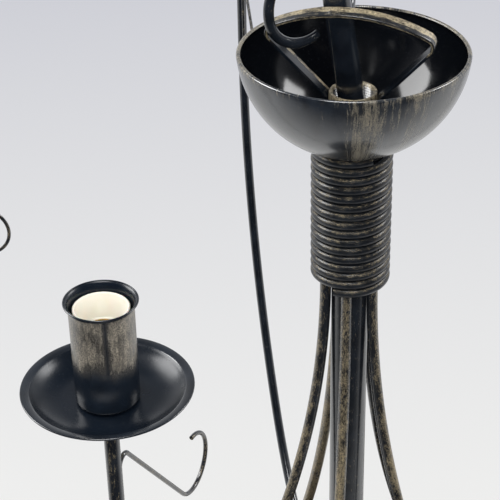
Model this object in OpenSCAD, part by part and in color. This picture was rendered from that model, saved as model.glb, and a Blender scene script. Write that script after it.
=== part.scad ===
// Wrought-iron chandelier with five candle lamps, hanging from a ring.
// Heights are counted from the rim of the top bowl, then moved so that the hang point is the origin.
// +Z is up and -Y is the front.

/* [Bowl and dish] */
// Diameter of the bowl at its rim
bowl_d = 154; // [130:1:180]
// Depth of the bowl, from rim to lowest point
bowl_depth = 70; // [60:1:76]
// Sheet thickness of the bowl
bowl_wall = 1.5; // [1:0.1:3]
// Thickness of the rolled edge
rim_roll = 3; // [2:0.1:5]
// Diameter of the lower dish at its rim
dish_d = 206; // [196:1:220]
// Depth of the lower dish
dish_depth = 46; // [40:1:56]

/* [Column] */
// Outer diameter of the column pipe
column_d = 26.4; // [22:0.1:30]
// Wall of the column pipe
column_wall = 2.2; // [1.5:0.1:3]
// Outer diameter of the pipe socket in the bowl
socket_d = 32.4; // [30:0.1:40]
// Length of the pipe socket
socket_h = 39; // [34:0.5:46]
// Height of pipe screwed into the socket
socket_grip = 14; // [8:0.5:18]
// Thickness of the washer under the bowl and of the one in the dish
washer_h = 3; // [2:0.5:5]
// Pitch of the pipe thread that shows in the socket
thread_pitch = 1.8; // [1.2:0.1:2.4]

/* [Coil and stay rods] */
// Wire diameter of the coil
coil_wire = 6.3; // [5:0.1:6.35]
// Distance between turns
coil_pitch = 6.8; // [6.75:0.05:9]
// Turns of the coil
coil_turns = 15; // [8:1:18]
// Diameter of the stay rods
rod_d = 8; // [6:0.1:9]
// Straight length of a stay rod, from under the bowl washer
rod_straight = 102; // [96:1:126]
// Bending radius of a stay rod
rod_bend = 700; // [660:10:720]
// Angle through which a stay rod bends outwards
rod_sweep = 27; // [22:0.5:27]
// Angle of the front stay rod, left of the front
rod_phase = 10; // [0:1:20]

/* [Hanging stem] */
// Outer diameter of the stem
stem_d = 18; // [14:0.5:20]
// Wall of the stem
stem_wall = 1.5; // [1:0.1:2.5]
// Length of the stem above its pin
stem_len = 215; // [190:1:300]
// Length of the stem below its pin
stem_tail = 6.5; // [6:0.5:7]
// Lean of the stem to the left at rest
lean = 8.5; // [0:0.5:9]
// Diameter of the pin that the column hangs from
pin_d = 5; // [4:0.5:6]
// Depth of the pin below the top of the socket
pin_drop = 12; // [11:0.5:13]

/* [Hanging eye and ring] */
// Wire diameter of the eye and of the ring
loop_wire = 6; // [4:0.5:8]
// Middle radius of the eye on the stem
eye_r = 12; // [11:0.5:16]
// Middle radius of the hanging ring
ring_r = 22; // [18:0.5:30]
// Height of the flange under the eye
eye_flange = 4; // [3:0.5:8]
// Length of the eye's plug inside the stem
eye_plug = 14; // [8:1:25]

/* [Stem scrolls] */
// Rod diameter of the scrolls
scroll_d = 7; // [5:0.5:8]
// Height above the pin at which a scroll leaves the stem
scroll_top = 152; // [146:1:165]
// Length of scroll that lies along the stem
scroll_weld = 15; // [10:1:25]
// Bending radius of the S above the curl
scroll_bend = 35; // [32:1:40]
// Angle of each half of the S
scroll_turn = 59.5; // [55:0.5:62]
// Radius of the curl
curl_r = 20.5; // [17:0.5:22]
// Angle through which the curl turns
curl_turn = 122; // [110:1:130]
// Angle of the front scroll, left of the front
scroll_phase = 68; // [62:1:80]
// Angle of the back scroll, left of the front
scroll_back_phase = 192; // [180:1:205]

/* [Strap loop in the bowl] */
// Width of the strap
strap_w = 9; // [6:0.5:11]
// Thickness of the strap
strap_t = 2.2; // [1.5:0.1:3]
// Length of each straight leg
strap_leg = 58; // [52:1:62]
// Angle of the legs above level
strap_rise = 52; // [48:1:56]
// Radius of the two shoulders
strap_shoulder = 7; // [5:0.5:10]
// Angle through which a shoulder turns
strap_turn = 97.5; // [94:0.5:102]
// Lean of the loop to the front
strap_lean = 16; // [15:0.5:20]
// Turn of the loop round the column, left end to the back
strap_yaw = 14; // [10:1:18]
// Depth below the top of the socket at which the legs are welded on
strap_drop = 4; // [4:0.5:8]

/* [Arms] */
// Outer diameter of an arm tube
arm_d = 8; // [7:0.1:10]
// Wall of an arm tube
arm_wall = 1; // [0.8:0.1:1.5]
// Distance from the column to the middle of a candle
arm_reach = 350; // [320:1:380]
// Length of the straight upper end, up to the pan
arm_rise = 100; // [80:1:130]
// Length of the level start, from inside the hub
arm_level = 40; // [30:1:55]
// Angle at which the lower sweep passes into the upper one
arm_split = 50; // [46:1:56]
// Angle of the front arm, left of the front
arm_phase = 22.5; // [0:0.5:36]

/* [Wire scrolls] */
// Diameter of the scroll wire
wire_d = 2.6; // [2:0.1:4]
// Length of wire that lies along the arm
wire_weld = 55; // [40:1:60]
// Distance from the pan collar down to the top of the wire
wire_drop = 37; // [20:0.5:39]
// Radius of the turn at the top
wire_top = 5; // [4:0.5:8]
// Angle below level at which the wire runs inwards
wire_fall = 51; // [40:1:60]
// Length of the inward run
wire_run = 95; // [60:1:120]
// Radius of the curl at its end
wire_curl = 18; // [12:1:24]
// Angle through which that curl turns
wire_curl_turn = 230; // [180:5:270]

/* [Hub and finial] */
// Diameter of the arm hub
hub_d = 60; // [54:1:70]
// Height of the arm hub
hub_h = 40; // [34:1:50]
// Depth of the arm holes in the hub
arm_grip = 10; // [6:0.5:13]
// Depth of the pipe's bore in the hub
pipe_grip = 12; // [8:0.5:14]
// Depth of the wiring chamber below the pipe
chamber_h = 16; // [12:0.5:18]
// Diameter of the finial ball
finial_d = 34; // [26:1:44]
// Diameter of the finial's stud
finial_stud = 10; // [8:0.5:12]
// Height of the finial's neck
finial_neck = 4; // [3:0.5:6]
// Diameter of the drop under the ball
finial_drop = 12; // [8:0.5:16]

/* [Candles] */
// Height of the candle cups' rims above the rim of the bowl
cup_rim_z = 20; // [0:1:40]
// Outer diameter of a candle cup
cup_d = 32; // [31.4:0.1:40]
// Height of a candle cup
cup_h = 58; // [50:1:80]
// Sheet thickness of cups and pans
sheet = 1; // [0.8:0.1:1.5]
// Outer diameter of the flared rim
flare_d = 36.6; // [34:0.2:46]
// Height of the flare
flare_h = 7; // [5:0.5:12]
// Diameter of the drip pan
pan_d = 86; // [74:1:100]
// Depth of the drip pan
pan_depth = 9; // [6:0.5:14]
// Diameter of the pan's flat floor
pan_floor_d = 46; // [40:1:56]
// Width of the pan's lip
pan_lip = 4; // [3:0.5:6]
// Diameter of the collar under the pan
collar_d = 15; // [13:0.5:20]
// Height of that collar
collar_h = 5; // [4:0.5:8]

/* [Lamp holders] */
// Outer diameter of a lamp holder
holder_d = 28; // [26:0.1:28.4]
// Depth of the holder's top below the cup's rim
holder_drop = 4; // [2:0.5:8]
// Mouth of the holder
holder_mouth = 25; // [22:0.1:25.4]
// Depth of the holder's funnel
funnel_h = 12; // [8:0.5:14]
// Bore of the screw shell
shell_bore = 13.9; // [13.7:0.1:14.2]
// Wall of the screw shell
shell_wall = 0.8; // [0.6:0.1:1]
// Length of the screw shell
shell_h = 16; // [14:0.5:18]
// Depth of the contact chamber below the shell
contact_h = 6; // [5:0.5:8]
// Diameter of the centre contact
contact_d = 6; // [4:0.5:8]

/* [Hidden] */
$fn = 64;
lamp_count = 5;
step_angle = 360 / lamp_count;

// Clearances
seat = 0.1;          // pieces seated on each other
weld_gap = 0.3;      // bars beside what they are welded to
thread_gap = 0.2;    // screwed joints
run_gap = 0.05;      // stem on its pin
coil_gap = 0.3;      // coil round the stay rods
hang_gap = 0.3;      // ring in the eye
bead = 0.25;         // height of a weld bead on a bent bar
bead_gap = 0.4;      // half the gap that a bead fills
eye_sink = 1;        // how far the eye is sunk into its flange
over = 1;            // how far a hole is cut past a face
touch = 0.01;        // the same where the next hole begins

// Spheres that the bowl and the dish are caps of, and the height of such a cap's wall at a radius
bowl_r = bowl_d / 2;
bowl_sphere = (bowl_r * bowl_r + bowl_depth * bowl_depth) / (2 * bowl_depth);
dish_r = dish_d / 2;
dish_sphere = (dish_r * dish_r + dish_depth * dish_depth) / (2 * dish_depth);
function cap_z(sphere_r, depth, wall, r) = sphere_r - depth - sqrt(pow(sphere_r - wall, 2) - r * r);
bowl_hole_d = column_d + 2 * thread_gap;

// Column heights
socket_z = cap_z(bowl_sphere, bowl_depth, bowl_wall, socket_d / 2) + seat;
socket_top = socket_z + socket_h;
column_top = socket_z + socket_grip;
washer_top = cap_z(bowl_sphere, bowl_depth, 0, bowl_hole_d / 2) - seat;
rod_top = washer_top - washer_h;
pin_z = socket_top - pin_drop;

// Stay rods and the coil round them
rod_r = column_d / 2 + rod_d / 2 + weld_gap;
coil_r = rod_r + rod_d / 2 + coil_gap + coil_wire / 2;
coil_top = bowl_sphere - bowl_depth - sqrt(pow(bowl_sphere + coil_wire / 2 + coil_gap, 2) - coil_r * coil_r);
washer_d = 2 * (coil_r - coil_wire / 2 - coil_gap);

// Lower dish, in which the rods end
rod_end_r = rod_r + rod_bend * (1 - cos(rod_sweep)) + rod_d / 2 * cos(rod_sweep);
rod_end_z = rod_top - rod_straight - rod_bend * sin(rod_sweep) + rod_d / 2 * sin(rod_sweep);
dish_inner = dish_sphere - bowl_wall - seat;
dish_centre = rod_end_z + sqrt(dish_inner * dish_inner - rod_end_r * rod_end_r);
dish_z = dish_centre - dish_sphere + dish_depth;
dish_washer_z = dish_z + cap_z(dish_sphere, dish_depth, bowl_wall, washer_d / 2) + seat;
hub_top = dish_z + cap_z(dish_sphere, dish_depth, 0, bowl_hole_d / 2) - seat;
hub_z = hub_top - hub_h;
column_end = hub_top - pipe_grip + seat;

// Candle heights
pan_z = cup_rim_z - cup_h - sheet - seat;
collar_z = pan_z - collar_h - seat;
holder_z = cup_rim_z - cup_h + sheet + seat;
holder_top = cup_rim_z - holder_drop;
shell_od = shell_bore + 2 * shell_wall;
shell_top = holder_top - funnel_h;
shell_z = shell_top - shell_h;
contact_floor = shell_z - contact_h;
arm_tip = holder_z + arm_grip;

// Arm sweep: the lower and upper bending radius that give the reach and the rise
arm_start = hub_d / 2 - arm_grip;
arm_z = hub_top - pipe_grip - chamber_h / 2;
arm_top_z = collar_z - arm_rise;
sweep_out = arm_reach - arm_start - arm_level;
sweep_up = arm_top_z - arm_z;
sweep_share = sin(arm_split) + cos(arm_split) - 1;
arm_lower = (sweep_out * cos(arm_split) - sweep_up * (1 - sin(arm_split))) / sweep_share;
arm_upper = (sweep_up * sin(arm_split) - sweep_out * (1 - cos(arm_split))) / sweep_share;

// Stem, eye and ring
eye_h = stem_len + eye_flange + eye_r + loop_wire / 2 - eye_sink;
eye_x = -eye_h * sin(lean);
eye_z = pin_z + eye_h * cos(lean);
ring_low = eye_z + eye_r - loop_wire - hang_gap;
hang_point = [eye_x, 0, ring_low + 2 * ring_r - loop_wire / 2];
scroll_r = stem_d / 2 + scroll_d / 2 + weld_gap;

// Coil path: a right-handed helix that ends at the front, with straight ends
coil_steps = 24;
coil_sides = 6;
coil_low = coil_top - coil_turns * coil_pitch;
function coil_point(k) =
    let (a = -90 + 360 * k / coil_steps)
    [coil_r * cos(a), coil_r * sin(a), coil_low + coil_pitch * k / coil_steps];
coil_last = coil_turns * coil_steps;
coil_slope = atan(coil_pitch / (2 * PI * coil_r));
function coil_heading(k) =
    let (a = -90 + 360 * k / coil_steps)
    [-sin(a) * cos(coil_slope), cos(a) * cos(coil_slope), sin(coil_slope)];
coil_path = concat(
    [coil_point(0) - coil_wire * coil_heading(0)],
    [for (k = [0 : coil_last]) coil_point(k)],
    [coil_point(coil_last) + coil_wire * coil_heading(coil_last)]);
coil_near = min([for (i = [0 : len(coil_path) - 1], j = [i + coil_steps / 2 : len(coil_path) - 1])
    norm(coil_path[i] - coil_path[j])]) - coil_wire;
echo(coil_least_gap_mm = coil_near);

iron = "#1a1d22";
worn = "#8a7c62";
ivory = "#e8e2d0";
brass_tone = "#c8a24a";

// Places

module hung() {
    translate(-hang_point) children();
}

module on_stem() {
    hung() translate([0, 0, pin_z]) rotate([0, -lean, 0]) children();
}

// Turns +X to the direction of a rod or arm, counted to the left from the front
module facing(phase, i) {
    hung() rotate([0, 0, 270 - phase - step_angle * (i - 1)]) children();
}

module at_candle(i) {
    facing(arm_phase, i) translate([arm_reach, 0, 0]) children();
}

// Bent bar. Each step is [0, length] for a straight or [radius, angle] for a bend towards +X.
// Its lengths are joined by beads, as the smith's welds do, each standing a little proud.

module bar_section(d, width) {
    if (width > 0) {
        square([d, width], center = true);
    } else {
        circle(d = d);
    }
}

module bar_bead(d, width) {
    if (width > 0) {
        rotate([90, 0, 0]) cylinder(d = d + 2 * bead, h = width + 2 * bead, center = true);
    } else {
        sphere(d = d + 2 * bead);
    }
}

module bent_bar(steps, d, width = 0, i = 0) {
    radius = steps[i][0];
    amount = steps[i][1];
    from = i > 0 ? bead_gap : 0;
    to = i < len(steps) - 1 ? bead_gap : 0;
    if (i > 0) bar_bead(d, width);
    if (radius == 0) {
        translate([0, 0, from]) linear_extrude(amount - from - to) bar_section(d, width);
        if (i < len(steps) - 1) translate([0, 0, amount]) bent_bar(steps, d, width, i + 1);
    } else {
        turn = abs(amount);
        side = sign(amount);
        from_angle = from / radius * 180 / PI;
        to_angle = to / radius * 180 / PI;
        rotate([0, 0, side < 0 ? 180 : 0])
            translate([radius, 0, 0]) rotate([90, 0, 0]) rotate([0, 0, 180 - turn + to_angle])
                rotate_extrude(angle = turn - from_angle - to_angle)
                    translate([radius, 0]) bar_section(d, width);
        if (i < len(steps) - 1)
            translate([side * radius * (1 - cos(turn)), 0, radius * sin(turn)])
                rotate([0, amount, 0]) bent_bar(steps, d, width, i + 1);
    }
}

// Cap of a sphere with a rolled edge and a hole for the column
module pressed_bowl(sphere_r, depth) {
    rim_r = sqrt(depth * (2 * sphere_r - depth));
    difference() {
        union() {
            intersection() {
                translate([0, 0, sphere_r - depth]) sphere(sphere_r);
                translate([0, 0, -depth]) cylinder(r = sphere_r, h = depth);
            }
            rotate_extrude() translate([rim_r - rim_roll / 2, 0]) circle(d = rim_roll);
        }
        difference() {
            translate([0, 0, sphere_r - depth]) sphere(sphere_r - bowl_wall);
            rotate_extrude() translate([rim_r - rim_roll / 2, 0]) circle(d = rim_roll);
        }
        translate([0, 0, -depth - over]) cylinder(d = bowl_hole_d, h = depth);
    }
}

// Hanging ring, eye and stem

module hanging_ring() {
    color(iron) hung() translate([eye_x, 0, ring_low + ring_r])
        rotate([0, 90, 0]) rotate_extrude() translate([ring_r, 0]) circle(d = loop_wire);
}

module stem_eye() {
    plug_d = stem_d - 2 * stem_wall - 2 * seat;
    color(iron) on_stem() {
        translate([0, 0, stem_len - eye_plug]) cylinder(d = plug_d, h = eye_plug + eye_sink);
        translate([0, 0, stem_len + seat]) cylinder(d = stem_d, h = eye_flange);
        translate([0, 0, eye_h]) rotate([90, 0, 0])
            rotate_extrude() translate([eye_r, 0]) circle(d = loop_wire);
    }
}

module stem_tube() {
    color(iron) on_stem() difference() {
        translate([0, 0, -stem_tail]) cylinder(d = stem_d, h = stem_tail + stem_len);
        translate([0, 0, -stem_tail - over])
            cylinder(d = stem_d - 2 * stem_wall, h = stem_tail + stem_len + 2 * over);
        rotate([90, 0, 0]) cylinder(d = pin_d + 2 * run_gap, h = 2 * stem_d, center = true);
    }
}

module stem_scroll(phase) {
    steps = [[0, scroll_weld], [scroll_bend, scroll_turn], [scroll_bend, -scroll_turn],
             [curl_r, -curl_turn]];
    color(iron) on_stem() rotate([0, 0, 270 - phase])
        translate([scroll_r, 0, scroll_top]) rotate([180, 0, 0]) bent_bar(steps, scroll_d);
}

module scroll_front() {
    stem_scroll(scroll_phase);
}

module scroll_back() {
    stem_scroll(scroll_back_phase);
}

// Column

module stem_pin() {
    color("silver") hung() translate([0, 0, pin_z]) rotate([90, 0, 0])
        cylinder(d = pin_d, h = socket_d, center = true);
}

module bowl() {
    color(iron) hung() pressed_bowl(bowl_sphere, bowl_depth);
}

module pipe_socket() {
    bore = column_d + 2 * thread_gap;
    free_h = socket_h - socket_grip;
    color(worn) hung() difference() {
        translate([0, 0, socket_z]) cylinder(d = socket_d, h = socket_h);
        translate([0, 0, socket_z - over]) cylinder(d = bore, h = socket_h + 2 * over);
        for (k = [1 : floor(free_h / thread_pitch / 2)])
            translate([0, 0, socket_top - k * thread_pitch])
                cylinder(d = bore + thread_pitch / 2, h = thread_pitch / 2);
        translate([0, 0, pin_z]) rotate([90, 0, 0]) cylinder(d = pin_d, h = 2 * socket_d, center = true);
    }
}

module strap_loop() {
    // End of a shoulder, in the plane of the loop, and the arch that joins the two
    open = strap_turn + strap_rise - 90;
    foot_u = socket_d / 2 + strap_t / 2 * sin(strap_rise) + weld_gap;
    end_u = foot_u + strap_leg * cos(strap_rise) + strap_shoulder * (cos(open) - sin(strap_rise));
    arch_r = end_u / cos(open);
    steps = [[0, strap_leg], [strap_shoulder, strap_turn], [arch_r, 180 - 2 * open],
             [strap_shoulder, strap_turn], [0, strap_leg]];
    color(worn) hung() translate([0, 0, socket_top - strap_drop]) rotate([0, 0, -strap_yaw])
        rotate([strap_lean, 0, 0]) translate([-foot_u, 0, 0])
            rotate([0, strap_rise - 90, 0]) bent_bar(steps, strap_t, strap_w);
}

module bowl_washer() {
    color("dimgray") hung() translate([0, 0, rod_top]) difference() {
        cylinder(d = washer_d, h = washer_h);
        translate([0, 0, -over]) cylinder(d = bowl_hole_d, h = washer_h + 2 * over);
    }
}

module column_tube() {
    color(iron) hung() translate([0, 0, column_end]) difference() {
        cylinder(d = column_d, h = column_top - column_end);
        translate([0, 0, -over])
            cylinder(d = column_d - 2 * column_wall, h = column_top - column_end + 2 * over);
    }
}

// Ring of points round one point of the coil's path
function coil_ring(k) =
    let (here = coil_path[k],
         ahead = coil_heading(max(0, min(coil_last, k - 1))),
         out = [here[0], here[1], 0] / norm([here[0], here[1], 0]),
         level = out - (out * ahead) * ahead,
         side = level / norm(level),
         rise = cross(ahead, side))
    [for (s = [0 : coil_sides - 1])
        here + coil_wire / 2 * (cos(360 * s / coil_sides) * side + sin(360 * s / coil_sides) * rise)];

module coil() {
    rings = len(coil_path);
    points = [for (k = [0 : rings - 1]) each coil_ring(k)];
    function at(k, s) = k * coil_sides + s % coil_sides;
    walls = [for (k = [0 : rings - 2], s = [0 : coil_sides - 1])
        each [[at(k, s), at(k + 1, s), at(k, s + 1)], [at(k, s + 1), at(k + 1, s), at(k + 1, s + 1)]]];
    caps = [for (s = [1 : coil_sides - 2])
        each [[at(0, 0), at(0, s), at(0, s + 1)],
              [at(rings - 1, 0), at(rings - 1, s + 1), at(rings - 1, s)]]];
    color(worn) hung() polyhedron(points, concat(walls, caps));
}

// Stay rods and what they stand in

module stay_rod(i) {
    color(iron) facing(rod_phase, i) translate([rod_r, 0, rod_top - seat]) rotate([180, 0, 0])
        bent_bar([[0, rod_straight - seat], [rod_bend, rod_sweep]], rod_d);
}

module lower_dish() {
    color(iron) hung() translate([0, 0, dish_z]) pressed_bowl(dish_sphere, dish_depth);
}

module dish_washer() {
    color("dimgray") hung() translate([0, 0, dish_washer_z]) difference() {
        cylinder(d = washer_d, h = washer_h);
        translate([0, 0, -over]) cylinder(d = bowl_hole_d, h = washer_h + 2 * over);
    }
}

module arm_hub() {
    chamber_d = column_d - 2 * column_wall;
    color(iron) hung() difference() {
        translate([0, 0, hub_z]) cylinder(d = hub_d, h = hub_h);
        translate([0, 0, hub_top - pipe_grip]) cylinder(d = bowl_hole_d, h = pipe_grip + over);
        translate([0, 0, hub_top - pipe_grip - chamber_h]) cylinder(d = chamber_d, h = chamber_h + over);
        translate([0, 0, hub_z - over]) cylinder(d = finial_stud + 2 * thread_gap, h = hub_h - pipe_grip);
        for (i = [1 : lamp_count])
            rotate([0, 0, 270 - arm_phase - step_angle * (i - 1)])
                translate([0, 0, arm_z]) rotate([0, 90, 0]) {
                    cylinder(d = arm_d - 2 * arm_wall, h = hub_d / 2);
                    translate([0, 0, arm_start]) cylinder(d = arm_d + 2 * seat, h = hub_d);
                }
    }
}

module finial() {
    stud_h = hub_h - pipe_grip - chamber_h - seat;
    neck_z = hub_z - seat - finial_neck;
    ball_z = neck_z - 0.4 * finial_d;
    color(iron) hung() {
        translate([0, 0, neck_z]) cylinder(d1 = 0.8 * finial_d, d2 = finial_d, h = finial_neck);
        translate([0, 0, ball_z]) sphere(d = finial_d);
        translate([0, 0, ball_z - finial_d / 2 - finial_drop / 4]) sphere(d = finial_drop);
        translate([0, 0, hub_z - seat - over]) cylinder(d = finial_stud, h = stud_h);
    }
}

// Arms and candles

module arm(i) {
    sweep = [[0, arm_level], [arm_lower, -arm_split], [arm_upper, arm_split - 90]];
    tip = arm_tip - arm_top_z;
    color(iron) facing(arm_phase, i) translate([arm_start + seat, 0, arm_z]) rotate([0, 90, 0])
        difference() {
            bent_bar(concat(sweep, [[0, tip]]), arm_d);
            translate([0, 0, -over])
                bent_bar(concat([[0, arm_level + over]], [sweep[1], sweep[2], [0, tip + over]]),
                         arm_d - 2 * arm_wall);
        }
}

module wire_scroll(i) {
    start_z = collar_z - wire_drop - wire_top - wire_weld;
    steps = [[0, wire_weld], [wire_top, 90 + wire_fall], [0, wire_run], [wire_curl, -wire_curl_turn]];
    color(worn) at_candle(i) translate([-arm_d / 2 - wire_d / 2 - weld_gap, 0, start_z])
        rotate([0, 0, 180]) bent_bar(steps, wire_d);
}

module pan_collar(i) {
    color(iron) at_candle(i) translate([0, 0, collar_z]) difference() {
        cylinder(d1 = 0.8 * collar_d, d2 = collar_d, h = collar_h);
        translate([0, 0, -over]) cylinder(d = arm_d + 2 * seat, h = collar_h + 2 * over);
    }
}

module drip_pan(i) {
    floor_r = pan_floor_d / 2;
    rim_r = pan_d / 2;
    lip_rise = sheet / 2;
    color(iron) at_candle(i) translate([0, 0, pan_z]) rotate_extrude() polygon([
        [arm_d / 2 + seat, 0], [floor_r, 0],
        [rim_r - pan_lip, pan_depth - sheet - lip_rise], [rim_r, pan_depth - sheet],
        [rim_r, pan_depth], [rim_r - pan_lip - sheet / 3, pan_depth - lip_rise],
        [floor_r - sheet / 3, sheet], [arm_d / 2 + seat, sheet]]);
}

module candle_cup(i) {
    outer = cup_d / 2;
    flare = flare_d / 2;
    inner = outer - sheet;
    corner = 1.2 * sheet;
    lip_z = cup_h - flare_h / 3;
    lip_r = flare - (flare - outer) / 3;
    color(worn) at_candle(i) translate([0, 0, cup_rim_z - cup_h]) rotate_extrude() polygon([
        [arm_d / 2 + seat, 0], [outer - corner, 0], [outer - corner / 4, corner / 4], [outer, corner],
        [outer, cup_h - flare_h], [lip_r, lip_z], [flare, cup_h],
        [flare - sheet, cup_h], [lip_r - sheet, lip_z], [inner, cup_h - flare_h],
        [inner, corner], [outer - corner, sheet], [arm_d / 2 + seat, sheet]]);
}

module lamp_holder(i) {
    foot_d = arm_d + 2 * seat;
    color(ivory) at_candle(i) difference() {
        translate([0, 0, holder_z]) cylinder(d = holder_d, h = holder_top - holder_z);
        translate([0, 0, shell_top])
            cylinder(d1 = shell_od + 2 * seat, d2 = holder_mouth, h = funnel_h + touch);
        translate([0, 0, shell_z]) cylinder(d = shell_od + 2 * seat, h = shell_h + touch);
        translate([0, 0, contact_floor]) cylinder(d = shell_bore - 1, h = contact_h + over);
        translate([0, 0, holder_z - over]) cylinder(d = foot_d, h = contact_floor - holder_z - over);
    }
}

module screw_shells() {
    for (i = [1 : lamp_count]) color(brass_tone) at_candle(i) translate([0, 0, shell_z]) difference() {
        cylinder(d = shell_od, h = shell_h);
        translate([0, 0, -over]) cylinder(d = shell_bore, h = shell_h + 2 * over);
    }
}

module centre_contacts() {
    for (i = [1 : lamp_count]) color(brass_tone) at_candle(i) translate([0, 0, contact_floor])
        cylinder(d1 = contact_d + 2, d2 = contact_d, h = contact_h / 2);
}

hanging_ring();
stem_tube();
stem_eye();
scroll_front();
scroll_back();
stem_pin();
bowl();
pipe_socket();
strap_loop();
bowl_washer();
column_tube();
coil();
lower_dish();
dish_washer();
arm_hub();
finial();
screw_shells();
centre_contacts();
for (i = [1 : lamp_count]) {
    stay_rod(i);
    arm(i);
    wire_scroll(i);
    pan_collar(i);
    drip_pan(i);
    candle_cup(i);
    lamp_holder(i);
}
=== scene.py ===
import math
import bpy
from mathutils import Matrix, Vector, kdtree


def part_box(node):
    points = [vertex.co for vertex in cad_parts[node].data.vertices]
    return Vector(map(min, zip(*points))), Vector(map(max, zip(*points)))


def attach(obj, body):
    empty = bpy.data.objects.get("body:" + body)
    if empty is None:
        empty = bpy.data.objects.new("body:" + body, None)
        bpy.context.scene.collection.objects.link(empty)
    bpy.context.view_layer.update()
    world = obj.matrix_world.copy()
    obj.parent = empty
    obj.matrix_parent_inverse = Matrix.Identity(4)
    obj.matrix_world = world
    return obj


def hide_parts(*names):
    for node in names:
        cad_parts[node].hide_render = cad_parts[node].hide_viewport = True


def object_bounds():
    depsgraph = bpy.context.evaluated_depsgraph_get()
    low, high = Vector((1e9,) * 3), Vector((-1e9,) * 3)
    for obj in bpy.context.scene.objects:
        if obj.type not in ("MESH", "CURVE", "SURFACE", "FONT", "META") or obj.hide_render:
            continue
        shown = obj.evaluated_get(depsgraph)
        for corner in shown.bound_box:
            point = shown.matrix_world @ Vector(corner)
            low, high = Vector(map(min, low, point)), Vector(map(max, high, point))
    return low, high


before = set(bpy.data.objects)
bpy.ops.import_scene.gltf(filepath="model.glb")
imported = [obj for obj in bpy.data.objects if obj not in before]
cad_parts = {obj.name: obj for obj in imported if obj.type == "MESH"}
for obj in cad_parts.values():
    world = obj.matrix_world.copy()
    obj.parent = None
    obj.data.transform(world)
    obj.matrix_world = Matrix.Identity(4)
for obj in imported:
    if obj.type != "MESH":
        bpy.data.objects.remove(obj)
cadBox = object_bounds()
mm = 0.001
candleCount = 5
print("frame loaded:", len(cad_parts), "nodes")

# where the bowl's rim stands in the frame, in metres
bowlLow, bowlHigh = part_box("bowl")
rimRoll = 3 * mm
columnX = (bowlLow.x + bowlHigh.x) / 2
rimCentre = Vector((columnX, 0, bowlHigh.z - rimRoll / 2))


# small helpers for modelling

def clearSelection():
    if bpy.context.mode != "OBJECT":
        bpy.ops.object.mode_set(mode="OBJECT")
    bpy.ops.object.select_all(action="DESELECT")


def pickOnly(piece):
    clearSelection()
    piece.select_set(True)
    bpy.context.view_layer.objects.active = piece


def applyModifier(piece, kind, **settings):
    pickOnly(piece)
    modifier = piece.modifiers.new(kind.title(), kind)
    for key, value in settings.items():
        setattr(modifier, key, value)
    bpy.ops.object.modifier_apply(modifier=modifier.name)


def smooth(piece, degrees=40):
    pickOnly(piece)
    bpy.ops.object.shade_smooth_by_angle(angle=math.radians(degrees))


# a line through the points, in metres; with a wire size it becomes a round bar
def drawnLine(name, points, wire=0, radii=None, closed=False, sides=20):
    clearSelection()
    bpy.ops.curve.primitive_bezier_curve_add()
    line = bpy.context.object
    line.name = name
    curve = line.data
    curve.name = name
    curve.splines.clear()
    curve.dimensions = "3D"
    spline = curve.splines.new("POLY")
    spline.points.add(len(points) - 1)
    for k, place in enumerate(points):
        spline.points[k].co = (*place, 1)
        spline.points[k].radius = radii[k] if radii else 1
    spline.use_cyclic_u = closed
    curve.bevel_depth = wire / 2
    curve.bevel_resolution = max(0, sides // 2 - 2)
    curve.use_fill_caps = wire > 0
    curve.materials.clear()
    bpy.ops.object.convert(target="MESH")
    line.data.name = name
    return line


# the path of a bar bent flat: straights (0, length) and bends (radius, degrees), in mm;
# gives x, z and the heading, as the smith would lay it out on the bench
def bentPath(steps, stride=4.0):
    x, z, heading = 0.0, 0.0, 0.0
    path = [(x, z, heading)]
    for radius, amount in steps:
        if radius == 0:
            pieces = max(1, round(amount / (3 * stride)))
            for _ in range(pieces):
                x += math.sin(heading) * amount / pieces
                z += math.cos(heading) * amount / pieces
                path.append((x, z, heading))
            continue
        turn = math.radians(amount)
        pieces = max(6, round(abs(turn) * radius / stride), round(abs(amount) / 6))
        chord = 2 * radius * math.sin(abs(turn) / pieces / 2)
        for _ in range(pieces):
            heading += turn / pieces / 2
            x += chord * math.sin(heading)
            z += chord * math.cos(heading)
            heading += turn / pieces / 2
            path.append((x, z, heading))
    return path


# both layers are added before either is used, because adding one moves the other
def grainLayers(mesh):
    mesh.attributes.new("grain", "FLOAT_VECTOR", "POINT")
    mesh.attributes.new("gilt", "FLOAT", "POINT")
    return mesh.attributes["grain"], mesh.attributes["gilt"]


# gives each point of a piece its place on the straight bar or flat sheet that it was made from,
# so that brush marks run along it, and how much gilt the brush left there
def markGrain(piece, samples, gilt):
    tree = kdtree.KDTree(len(samples))
    for k, sample in enumerate(samples):
        tree.insert(sample["at"], k)
    tree.balance()
    mesh = piece.data
    grain, gold = grainLayers(mesh)
    for k, vertex in enumerate(mesh.vertices):
        sample = samples[tree.find(vertex.co)[1]]
        offset = vertex.co - sample["at"]
        across = offset.dot(sample["out"])
        aside = offset.dot(sample["aside"])
        grain.data[k].vector = (across, aside, sample["run"])
        gold.data[k].value = gilt(across, aside, sample["run"])


# samples of a bent path that a matrix sets in place: the point, its outer side, its flat side
# and the run so far
def pathSamples(path, place, outer=1):
    turn = place.to_3x3()
    samples = []
    run = 0.0
    for x, z, heading in path:
        at = place @ Vector((x * mm, 0, z * mm))
        run += (at - samples[-1]["at"]).length if samples else 0
        out = outer * (turn @ Vector((math.cos(heading), 0, -math.sin(heading))))
        samples.append({"at": at, "out": out, "aside": turn @ Vector((0, 1, 0)), "run": run})
    return samples


# a round bar along a bent path, its wire size in mm
def bentBar(name, steps, wire, place, gilt, taper=None, stride=4.0):
    samples = pathSamples(bentPath(steps, stride), place)
    length = samples[-1]["run"]
    radii = [taper(sample["run"], length) for sample in samples] if taper else None
    bar = drawnLine(name, [sample["at"] for sample in samples], wire * mm, radii)
    markGrain(bar, samples, gilt)
    smooth(bar, 50)
    return bar


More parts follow.
